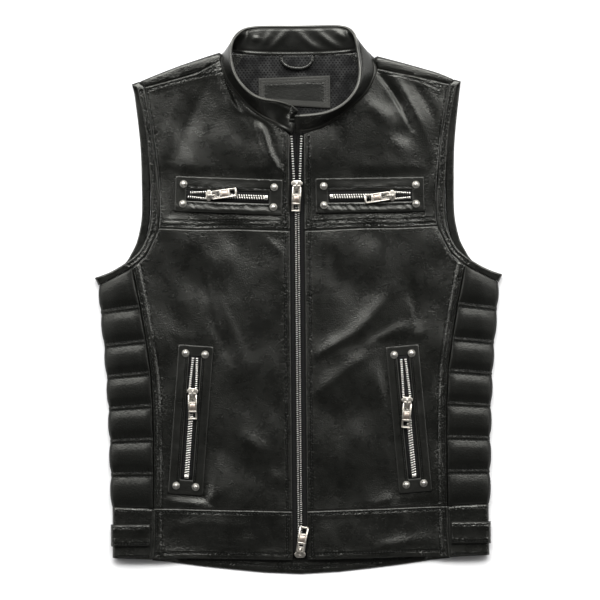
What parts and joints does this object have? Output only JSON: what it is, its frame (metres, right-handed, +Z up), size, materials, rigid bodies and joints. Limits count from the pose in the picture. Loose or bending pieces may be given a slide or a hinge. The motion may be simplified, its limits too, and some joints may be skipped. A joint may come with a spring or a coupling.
{
  "type": "leather vest",
  "caption": "Black leather zip vest laid flat: band collar, yoke, quilted side panels with straps, zipped chest and side pockets with studs.",
  "frame": {"origin": "centre of the base of the part's bounding box, on the surface that the vest lies on", "axes": "+Y from hem to collar, +X towards the wearer's left side, +Z up off the surface, out of the vest's front"},
  "size_m": [0.522, 0.7024, 0.0429],
  "materials": {
    "black_leather": "smooth full-grain leather, soft sheen",
    "trim_leather": "soft leather bindings, straps, collar, label and loop",
    "mesh_lining": "matt perforated knit lining",
    "zip_tape": "woven tape with metal teeth along its free edge",
    "nickel": "bright nickel plate"
  },
  "bodies": {
    "vest": {"back_body": "black_leather", "bottom_slider": "nickel", "collar": "trim_leather", "hanger_loop": "trim_leather", "label": "trim_leather", "left_armhole": "trim_leather", "left_chest": "black_leather", "left_chest_pocket_patch": "black_leather", "left_chest_pocket_slider": "nickel", "left_chest_pocket_stud_a": "nickel", "left_chest_pocket_stud_b": "nickel", "left_chest_pocket_stud_c": "nickel", "left_chest_pocket_stud_d": "nickel", "left_chest_pocket_zip": "nickel", "left_front": "black_leather", "left_front_band": "black_leather", "left_side": "black_leather", "left_side_band": "black_leather", "left_side_pocket_patch": "black_leather", "left_side_pocket_slider": "nickel", "left_side_pocket_stud_a": "nickel", "left_side_pocket_stud_b": "nickel", "left_side_pocket_stud_c": "nickel", "left_side_pocket_stud_d": "nickel", "left_side_pocket_zip": "nickel", "left_side_strap": "trim_leather", "left_zip_tape": "zip_tape", "neck_lining": "mesh_lining", "right_armhole": "trim_leather", "right_chest": "black_leather", "right_chest_pocket_patch": "black_leather", "right_chest_pocket_slider": "nickel", "right_chest_pocket_stud_a": "nickel", "right_chest_pocket_stud_b": "nickel", "right_chest_pocket_stud_c": "nickel", "right_chest_pocket_stud_d": "nickel", "right_chest_pocket_zip": "nickel", "right_front": "black_leather", "right_front_band": "black_leather", "right_side": "black_leather", "right_side_band": "black_leather", "right_side_pocket_patch": "black_leather", "right_side_pocket_slider": "nickel", "right_side_pocket_stud_a": "nickel", "right_side_pocket_stud_b": "nickel", "right_side_pocket_stud_c": "nickel", "right_side_pocket_stud_d": "nickel", "right_side_pocket_zip": "nickel", "right_side_strap": "trim_leather", "right_zip_tape": "zip_tape", "top_slider": "nickel", "zip_chain": "nickel"},
    "bottom_pull": {"bottom_pull": "nickel"},
    "left_chest_pocket_pull": {"left_chest_pocket_pull": "nickel"},
    "left_side_pocket_pull": {"left_side_pocket_pull": "nickel"},
    "right_chest_pocket_pull": {"right_chest_pocket_pull": "nickel"},
    "right_side_pocket_pull": {"right_side_pocket_pull": "nickel"},
    "top_pull": {"top_pull": "nickel"}
  },
  "joints": [
    {"name": "bottom_pull_hinge", "type": "hinge", "parent": "vest", "child": "bottom_pull", "pos_m": [-0.0012, -0.3232, 0.00985], "axis": [0.9848, -0.1736, 0], "range_deg": [0, 160]},
    {"name": "left_chest_pocket_pull_hinge", "type": "hinge", "parent": "vest", "child": "left_chest_pocket_pull", "pos_m": [0.11771, 0.13198, 0.013], "axis": [-0.1374, 0.9905, 0], "range_deg": [0, 160]},
    {"name": "left_side_pocket_pull_hinge", "type": "hinge", "parent": "vest", "child": "left_side_pocket_pull", "pos_m": [0.1378, -0.13257, 0.013], "axis": [-0.9966, 0.0819, 0], "range_deg": [0, 160]},
    {"name": "right_chest_pocket_pull_hinge", "type": "hinge", "parent": "vest", "child": "right_chest_pocket_pull", "pos_m": [-0.11082, 0.134, 0.013], "axis": [0.1374, -0.9905, 0], "range_deg": [0, 160]},
    {"name": "right_side_pocket_pull_hinge", "type": "hinge", "parent": "vest", "child": "right_side_pocket_pull", "pos_m": [-0.13707, -0.11911, 0.013], "axis": [-1, 0.0017, 0], "range_deg": [0, 160]},
    {"name": "top_pull_hinge", "type": "hinge", "parent": "vest", "child": "top_pull", "pos_m": [-0.0012, 0.1456, 0.01143], "axis": [-0.9986, 0.0523, 0], "range_deg": [0, 160]}
  ]
}
